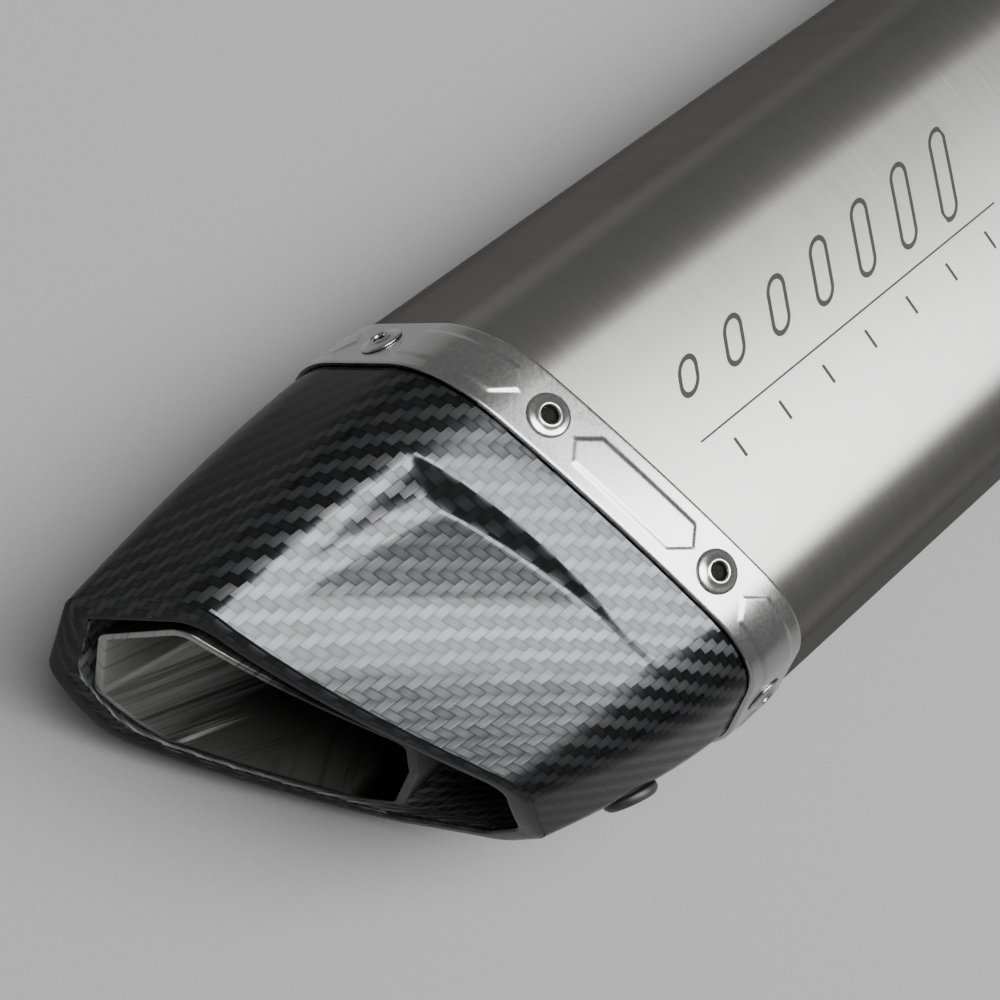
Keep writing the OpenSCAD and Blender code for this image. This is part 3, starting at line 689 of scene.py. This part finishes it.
# how far each fold of the scoop is rounded
SCOOP_WALL_TOP = 2.4
SCOOP_WALL_FOOT = 4.0
SCOOP_FRONT = 1.2
SCOOP_STEP_FOOT = 1.2
SCOOP_STEP_TOP = 0.4


def soft_min(a, b, k):
    """Smaller of a and b, rounded over a band k wide."""
    h = np.clip(0.5 + 0.5 * (b - a) / k, 0, 1)
    return b + (a - b) * h - k * h * (1 - h)


def line_dist(x, y, a, b):
    """Signed distance of (x, y) from the line through a and b."""
    e = (b - a) / np.linalg.norm(b - a)
    return e[0] * (y - a[1]) - e[1] * (x - a[0])


def scooped(rows):
    """Presses the scoop into the top: a sloping floor, a steep step with a bowed upper edge
    and a softer wall on the left."""
    x, y = rows[..., 0], rows[..., 1] - BAND_Y
    full = line_dist(*SCOOP_DEEP, SCOOP_LEFT, SCOOP_RIGHT)
    share = line_dist(x, y, SCOOP_LEFT, SCOOP_RIGHT) / full
    part = np.clip((SCOOP_RIGHT[0] - x) / (SCOOP_RIGHT[0] - SCOOP_DEEP[0]), 0, 1)
    bow = SCOOP_BULGE * 4 * part * (1 - part)
    step = SCOOP_STEP * (line_dist(x, y, SCOOP_RIGHT, SCOOP_DEEP) + bow)
    wall = SCOOP_WALL * line_dist(x, y, SCOOP_DEEP, SCOOP_LEFT)
    zero = np.zeros_like(x)
    wall = -soft_min(-wall, zero, SCOOP_WALL_TOP)
    bed = -soft_min(-SCOOP_DEPTH * share, zero, SCOOP_FRONT)
    bed_and_wall = soft_min(bed, wall, SCOOP_WALL_FOOT)
    depth = soft_min(bed_and_wall, step, SCOOP_STEP_FOOT)
    depth = -soft_min(-depth, zero, SCOOP_STEP_TOP)
    out = rows.copy()
    out[..., 2] -= np.where(rows[..., 2] > 5, depth, 0)
    return out


# ---------------------------------------------------------------- the pieces
titanium = brushed_titanium()
carbon = twill_carbon("twill_carbon", CARBON_LIGHT, metallic=1.0, rough=0.34, coat=0.35)
bare_carbon_painted_light = twill_carbon("bare_twill_painted_light", CARBON_BARE_PAINTED_LIGHT, metallic=0.3, rough=0.5, coat=0.0)
black = rubber()
band_steel = steel("band_steel", 0.32, 0.27)
rivet_steel = steel("rivet_steel", 0.38, 0.20)
stem_and_hole_shade = painted_shade_black()
inner_steel = steel("inner_steel", 0.30, 0.36)
inlet_steel = steel("inlet_steel", 0.42, 0.30, 0.006)
strap_steel = steel("strap_steel", 0.38, 0.28, 0.006)
bolt_steel = steel("bolt_steel", 0.40, 0.25)


def perimeter(step):
    """Places round the whole section, about step apart."""
    return np.linspace(0, 4 * QUARTER_S, int(4 * QUARTER_S / step) + 1)


def sleeve():
    """Sleeve sheet, square at the inlet and slanted at the outlet; uv is round it, along it."""
    u = perimeter(SLEEVE_STEP) - 2 * QUARTER_S
    front = BAND_Y + SLEEVE_INSET
    ys = np.linspace(0, 1, SLEEVE_ROWS)

    def at(t):
        return lambda x: SLEEVE_IN_Y + (front + BAND_SLANT * x - SLEEVE_IN_Y) * t

    profile = [(0, at(t)) for t in ys] + [(-SLEEVE_T, at(t)) for t in ys[::-1]]
    grid = ring_rows(profile, u)
    uv = np.stack([np.broadcast_to(u, grid.shape[:2]), grid[..., 1]], axis=-1) * MM
    mesh = grid_mesh("sleeve_skin", grid, uv, wrap_rows=True)
    obj = piece("sleeve_skin", mesh, "silencer", titanium, ["sleeve"])
    sharpen(obj)
    return obj


def end_cap():
    """Cap from the band to the mouth: skirt, outer skin, rounded rim, lip and inner skin."""
    root = on_band(section_ring(-CAP_GAP), BAND_Y)
    mouth = on_mouth(mouth_ring(CAP_CORNERS, 0), 0)
    root_in = on_band(section_ring(-SLEEVE_T - CAP_T), BAND_Y)
    lip = mouth_ring(CAP_CORNERS, RIM_W)
    wall_in = on_mouth(mouth_ring(CAP_CORNERS, CAP_T + 0.3), LIP_DEPTH + LIP_BACK)
    skirt_end = on_band(section_ring(-SLEEVE_T - CAP_GAP), BAND_Y + SKIRT_LEN)
    skirt_start = on_band(section_ring(-SLEEVE_T - CAP_GAP), BAND_Y + 0.6)
    skirt_in = on_band(section_ring(-SLEEVE_T - CAP_T), BAND_Y + SKIRT_LEN)
    ahead = np.linspace(0, 1, CAP_ROWS)
    back_in = np.linspace(1, 0, CAP_INNER_ROWS)
    outer = scooped(np.array([eased(root, mouth, t) for t in ahead]))
    turned = np.array([on_mouth(lip, back) for back in (0.4, 0.9, LIP_DEPTH - 0.4, LIP_DEPTH)])
    inner = scooped(np.array([eased(root_in, wall_in, t) for t in back_in]))
    rim = rounded_rim(outer, turned, RIM_ROUND)
    rows = np.concatenate([[skirt_end], [skirt_start], outer[:-2], rim, turned[2:], inner,
                           [skirt_in]])
    uv = run_lengths(rows)
    mesh = grid_mesh("end_cap_shell", rows, uv, flip=True)
    inside = 2 + len(outer) - 2 + len(rim)
    columns = rows.shape[1] - 1
    for k, face in enumerate(mesh.polygons):
        # from the lip inwards the laminate is bare, in a far lighter copy of the carbon: painted
        # light that shows its tows lit on the shaded inner wall
        face.material_index = int(k // columns >= inside)
    return piece("end_cap_shell", mesh, "silencer", [carbon, bare_carbon_painted_light],
                 ["end_cap"])


def rounded_rim(outer, inner, r):
    """Rows that turn from the outer surface over the mouth's edge to the inner surface."""
    o, i = outer[-1], inner[0]
    across = i - o
    across = across / np.linalg.norm(across, axis=1)[:, None]
    out_way = o - outer[-6]
    out_way = out_way / np.linalg.norm(out_way, axis=1)[:, None]
    in_way = i - inner[1]
    in_way = in_way / np.linalg.norm(in_way, axis=1)[:, None]
    rows = []
    for a in np.linspace(0, math.pi / 2, RIM_TURNS):
        rows.append(o + r * (across - out_way) + r * (-across * math.cos(a)
                                                      + out_way * math.sin(a)))
    for a in np.linspace(math.pi / 2, 0, RIM_TURNS):
        rows.append(i + r * (-across - in_way) + r * (across * math.cos(a)
                                                      + in_way * math.sin(a)))
    return np.array(rows)


def liner():
    """Sheet funnel from the round outlet plate to the slanted mouth."""
    edge = mouth_ring(LINER_CORNERS, 0)
    edge_in = mouth_ring(LINER_CORNERS, LINER_T)
    centre = np.array(LINER_CENTRE)
    round_way = (edge - centre) / np.linalg.norm(edge - centre, axis=1)[:, None]
    root = square_on(LINER_ROOT_R * round_way, BAND_Y + LINER_START)
    plate = square_on(LINER_ROOT_R * round_way, BAND_Y + OUT_PLATE)
    root_in = square_on((LINER_ROOT_R - LINER_T) * round_way, BAND_Y + LINER_START)
    plate_in = square_on((LINER_ROOT_R - LINER_T) * round_way, BAND_Y + OUT_PLATE)
    lip = on_mouth(edge, LINER_RECESS)
    lip_in = on_mouth(edge_in, LINER_RECESS)
    outer = np.array([blend_points(root, lip, t) for t in np.linspace(0, 1, 24)])
    inner = np.array([blend_points(root_in, lip_in, t) for t in np.linspace(1, 0, 48)])
    rim = rounded_rim(outer, inner, LINER_ROUND)
    rows = np.concatenate([[plate], outer[:-1], rim, inner[1:], [plate_in]])
    mesh = grid_mesh("liner_shell", rows, run_lengths(rows), flip=True)
    return piece("liner_shell", mesh, "silencer", liner_steel(),
                 ["outlet_liner"])


def pad_height(along, across, length):
    """Height of a pressed pad, a long hexagon with soft edges."""
    taper = PAD_W / 2 * PAD_TIP
    half = length / 2
    end = (half - np.abs(along)) / taper
    limit = np.minimum(1.0, np.maximum(end, 0)) * PAD_W / 2
    inside = np.minimum(limit - np.abs(across), half - np.abs(along))
    return np.clip(inside / PAD_EDGE + 0.5, 0, 1)


def band(name, node, y0, slant):
    """Strip round the sleeve with pressed pads at the flats' middles, the noses and
    between the rivets; slant is its rise in y per x."""
    u = perimeter(BAND_STEP)
    vs = np.linspace(0, BAND_W, BAND_ROWS)
    pads = [(0, TOP_PAD), (2 * QUARTER_S, TOP_PAD),
            (QUARTER_S, NOSE_PAD), (3 * QUARTER_S, NOSE_PAD)]
    middle = sum(RIVET_S) / 2
    for base in (0, 2 * QUARTER_S):
        pads += [(base + middle, RIVET_PAD), (base - middle, RIVET_PAD)]
    total = 4 * QUARTER_S
    grid = np.zeros((len(vs) + 4, len(u), 3))
    uv = np.zeros((len(vs) + 4, len(u), 2))
    for row, v in enumerate(vs):
        rise = np.zeros(len(u))
        for centre, length in pads:
            along = (u - centre + total / 2) % total - total / 2
            rise = np.maximum(rise, pad_height(along, v - BAND_W / 2, length))
        edge = min(v, BAND_W - v)
        roll = BAND_ROLL * max(0.0, 1 - edge / BAND_ROLL_W) ** 2
        smooth = rise * rise * (3 - 2 * rise)
        p, _ = skin(u, BAND_T + PAD_RISE * smooth - roll)
        grid[row + 2] = np.stack([p[:, 0], y0 + slant * p[:, 0] + v, p[:, 1]], axis=-1)
        uv[row + 2] = np.stack([u, np.full(len(u), v)], axis=-1) * MM
    for row, (d, v) in {0: (0.05, 0), 1: (0.55, 0), -2: (0.55, BAND_W),
                        -1: (0.05, BAND_W)}.items():
        p, _ = skin(u, d)
        grid[row] = np.stack([p[:, 0], y0 + slant * p[:, 0] + v, p[:, 1]], axis=-1)
        uv[row] = np.stack([u, np.full(len(u), v)], axis=-1) * MM
    mesh = grid_mesh(name, grid, uv, wrap_rows=True, flip=True)
    obj = piece(name, mesh, "silencer", band_steel, [node])
    sharpen(obj, 50)
    return obj


def inlet_cap():
    """Pressed cone from the sleeve's section to the round collar on the inlet tube."""
    full = section_ring(0)
    round_way = full / np.linalg.norm(full, axis=1)[:, None]

    def hexagon(d, y):
        return square_on(section_ring(d), SLEEVE_IN_Y + y)

    def circle(out, y):
        return square_on((COLLAR_R + out) * round_way, SLEEVE_IN_Y + y)

    start, stop = hexagon(-1.2, 3), circle(4.5, INLET_CAP_LEN - 8)
    cone = [blend_points(start, stop, t) for t in np.linspace(0, 1, 24)]
    neck = [circle(out, INLET_CAP_LEN - back)
            for out, back in [(3.1, 7.0), (2.2, 6.2), (1.7, 5.4), (1.5, 4.6), (1.4, 3.0),
                              (1.4, 0.3), (1.1, 0.0), (0.3, 0.0), (0.0, 0.3), (0.0, 6.0),
                              (2.8, 9.5)]]
    rows = np.array([hexagon(-1.15, -16), hexagon(-1.15, 0.2), hexagon(-0.6, 0.45),
                     hexagon(-0.35, 0.9), hexagon(-0.55, 1.8), *cone, *neck,
                     hexagon(-2.9, 1.4), hexagon(-2.55, -16)])
    mesh = grid_mesh("inlet_cap_shell", rows, run_lengths(rows))
    obj = piece("inlet_cap_shell", mesh, "silencer", inlet_steel, ["inlet_cap"])
    sharpen(obj, 60)
    return obj


def lathe(profile, place, n=48):
    """Verts and faces of a profile [(radius, height)] turned about the local Z of place."""
    angles = np.linspace(0, 2 * math.pi, n, endpoint=False)
    verts = []
    for r, h in profile:
        for a in angles:
            verts.append(place @ Vector((r * math.cos(a), r * math.sin(a), h)))
    faces = []
    for k in range(len(profile) - 1):
        for i in range(n):
            faces.append((k * n + i, k * n + (i + 1) % n, (k + 1) * n + (i + 1) % n,
                          (k + 1) * n + i))
    return verts, faces


def lathes(name, profile, places, n=48):
    """One mesh of the same turned profile at each of several places."""
    verts, faces = [], []
    for place in places:
        v, f = lathe(profile, place, n)
        faces += [tuple(i + len(verts) for i in face) for face in f]
        verts += [p * MM for p in v]
    mesh = bpy.data.meshes.new(name)
    mesh.from_pydata(verts, [], faces)
    mesh.shade_smooth()
    mesh.update()
    return mesh


def surface_place(s, sx, sz, d, y, slant):
    """Frame that stands on the section's surface at s, in the quarter of signs sx and sz."""
    point, normal = quarter_point(np.array([s]), d)
    x, z = point[0] * (sx, sz)
    on_sheet, _ = quarter_point(np.array([s]), 0.0)
    up = Vector((normal[0][0] * sx, 0, normal[0][1] * sz))
    side = Vector((0, 1, 0)).cross(up)
    turn = Matrix((side, Vector((0, 1, 0)), up)).transposed().to_4x4()
    return Matrix.Translation((x, y + slant * sx * on_sheet[0][0], z)) @ turn


RIVET_PROFILE = [(1.75, -6.4), (3.0, -6.2), (3.1, -5.6), (2.4, -4.5), (2.4, 0.0), (4.55, 0.0),
                 (4.75, 0.12), (4.75, 0.34), (4.55, 0.52), (4.1, 0.66), (3.5, 0.80), (3.0, 1.0),
                 (2.7, 1.2), (2.4, 1.3), (2.15, 1.26), (1.95, 1.08), (1.85, 0.8), (1.8, 0.1)]
STEM_PROFILE = [(1.4, -7.4), (1.6, -6.6), (1.62, -0.3), (1.79, 0.04), (1.2, 0.1), (0.9, 0.3),
                (0.02, 0.34)]


def rivets(y, slant, label):
    """Eight rivets round a band whose middle is at y, as heads and as stems; the stems are
    near-black painted shade.
    """
    places = [surface_place(s, sx, sz, BAND_T, y, slant)
              for s in RIVET_S for sx in (1, -1) for sz in (1, -1)]
    body = piece(f"{label}_rivet_heads", lathes("rivets", RIVET_PROFILE, places), "silencer",
                 rivet_steel, [f"{label}_rivets"])
    stem = piece(f"{label}_rivet_cores", lathes("stems", STEM_PROFILE, places), "silencer",
                 stem_and_hole_shade, [f"{label}_rivet_stems"])
    return body, stem


BUNG_AT = (56.1, BAND_Y - 10.4, 0.0)
BUNG_TILT = math.radians(12.9)
BUNG_PROFILE = [(0.02, -6.4), (3.5, -6.4), (3.75, -6.2), (4.0, -5.4), (3.7, -4.2), (3.7, 0.0),
                (6.2, 0.2), (6.5, 0.35), (6.6, 0.6), (6.6, 1.3), (6.45, 1.7), (5.9, 2.3),
                (5.6, 2.5), (5.2, 2.45), (4.9, 2.2), (4.4, 2.3), (3.4, 2.75), (0.02, 3.0)]
BUNG_HOLE_R = 4.3
BUNG_HOLE_DEPTH = 3.2
BUNG_HOLE_REACH = 5.0
BUNG_PLACE = (Matrix.Translation(BUNG_AT) @ Matrix.Rotation(-BUNG_TILT, 4, "Z")
              @ Matrix.Rotation(math.pi / 2, 4, "Y"))


def pierce(mesh, place, radius, reach):
    """Opens a round hole where the axis of place meets the mesh, as deep as reach."""
    bm = bmesh.new()
    bm.from_mesh(mesh)
    inverse = place.inverted()
    spots = {v: inverse @ (v.co / MM) for v in bm.verts}

    def near(v, limit):
        return spots[v].xy.length < limit and abs(spots[v].z) < reach

    gone = [f for f in bm.faces if any(near(v, radius) for v in f.verts)]
    bmesh.ops.delete(bm, geom=gone, context="FACES")
    rim = {v for e in bm.edges if e.is_boundary for v in e.verts if near(v, 2 * radius)}
    for v in rim:
        spot = spots[v]
        scale = radius / spot.xy.length
        v.co = (place @ Vector((spot.x * scale, spot.y * scale, spot.z))) * MM
    bm.to_mesh(mesh)
    bm.free()


def bung():
    """Rubber bung, and the wall of the hole that it plugs, near-black as painted shade."""
    mesh = lathes("bung", BUNG_PROFILE, [BUNG_PLACE], 64)
    obj = piece("side_bung", mesh, "bung", black, ["rubber_bung"])
    sharpen(obj, 50)
    bore = lathes("bore", [(BUNG_HOLE_R, -BUNG_HOLE_DEPTH), (BUNG_HOLE_R, 0.1)], [BUNG_PLACE], 64)
    piece("bung_hole_wall", bore, "silencer", stem_and_hole_shade)
    return obj


sleeve()
pierce(end_cap().data, BUNG_PLACE, BUNG_HOLE_R, BUNG_HOLE_REACH)
liner()
band("outlet_band_strip", "outlet_band", BAND_Y, BAND_SLANT)
band("inlet_band_strip", "inlet_band", SLEEVE_IN_Y - BAND_W, 0.0)
rivets(BAND_Y + BAND_W / 2, BAND_SLANT, "outlet")
rivets(SLEEVE_IN_Y - BAND_W / 2, 0.0, "inlet")
bung()
inlet_cap()

KEPT = {
    "outlet_bulkhead": inner_steel, "baffle_holder": inner_steel, "baffle": inner_steel,
    "baffle_screw": bolt_steel, "core_tube": inner_steel, "inlet_bulkhead": inner_steel,
    "inlet_tube": inlet_steel, "spring_hooks": inlet_steel,
    "strap": strap_steel, "strap_rubber": black, "strap_bolt": bolt_steel,
    "strap_nut": bolt_steel, "strap_washers": bolt_steel, "hanger_bush": inlet_steel,
    "steel_wool": wool("steel_wool", (0.4, 0.4, 0.4), (0.08, 0.08, 0.08), 300),
    "packing": wool("glass_wool", (0.8, 0.74, 0.5), (0.45, 0.4, 0.25), 180),
}
for name, material in KEPT.items():
    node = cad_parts[name]
    node.data.materials.clear()
    node.data.materials.append(material)

# ---------------------------------------------------------------- floor, light, camera


FLOOR_HALF = 40.0
FLOOR_GAP = 0.0005
FLOOR_TONES = (0.225, 0.245)


def floor():
    """Plain pale paper just under the object."""
    mesh = bpy.data.meshes.new("floor")
    h = FLOOR_HALF
    z = cad_low.z - FLOOR_GAP
    mesh.from_pydata([(-h, -h, z), (h, -h, z), (h, h, z), (-h, h, z)], [], [(0, 1, 2, 3)])
    obj = bpy.data.objects.new("floor", mesh)
    bpy.context.scene.collection.objects.link(obj)
    s = Shade("floor_paper")
    grain = s.noise(s.place(), 900.0, 3.0)
    tone = s.ramp(grain, (0.3, FLOOR_TONES[0]), (0.7, FLOOR_TONES[1]))
    s.set(base_color=tone, roughness=0.8, normal=s.bump(grain, 0.05, 0.15))
    mesh.materials.append(s.mat)


def area_light(name, toward, distance, size, power):
    """Softbox in the given direction from the cap, facing it."""
    data = bpy.data.lights.new(name, "AREA")
    data.shape = "RECTANGLE"
    data.size, data.size_y = size
    data.energy = power
    obj = bpy.data.objects.new(name, data)
    way = Vector(toward).normalized()
    target = Vector((0, BAND_Y * MM, 0))
    obj.location = target + way * distance
    obj.rotation_mode = "QUATERNION"
    obj.rotation_quaternion = way.to_track_quat("Z", "Y")
    bpy.context.scene.collection.objects.link(obj)
    return obj


# the fitted view: angles in degrees, lens in millimetres, the rest in metres
VIEW_AZIMUTH = -8.5
VIEW_ELEVATION = 64.12
VIEW_ROLL = 61.31
VIEW_LENS = 70.65
VIEW_DISTANCE = 0.39028
VIEW_TARGET = Vector((-0.01516, BAND_Y * MM - 0.01325, 0.04141))


def camera():
    """Camera that looks at the target from the fitted direction."""
    azimuth = math.radians(VIEW_AZIMUTH)
    elevation = math.radians(VIEW_ELEVATION)
    roll = math.radians(VIEW_ROLL)
    data = bpy.data.cameras.new("view")
    data.sensor_width = 36
    data.lens = VIEW_LENS
    data.clip_start = 0.01
    obj = bpy.data.objects.new("view", data)
    back = Vector((math.sin(azimuth) * math.cos(elevation),
                   -math.cos(azimuth) * math.cos(elevation), math.sin(elevation)))
    right0 = Vector((0, 0, 1)).cross(back).normalized()
    up0 = back.cross(right0)
    right = math.cos(roll) * right0 + math.sin(roll) * up0
    up = -math.sin(roll) * right0 + math.cos(roll) * up0
    turn = Matrix((right, up, back)).transposed().to_4x4()
    obj.matrix_world = Matrix.Translation(VIEW_TARGET + back * VIEW_DISTANCE) @ turn
    bpy.context.scene.collection.objects.link(obj)
    bpy.context.scene.camera = obj


floor()
area_light("key", toward=(0.14, 0.194, 1.0), distance=1.3, size=(0.6, 1.44), power=48)
WORLD_GREY = (0.30, 0.30, 0.30, 1)
world = bpy.data.worlds.new("studio")
world.use_nodes = True
world.node_tree.nodes["Background"].inputs[0].default_value = WORLD_GREY
bpy.context.scene.world = world
camera()
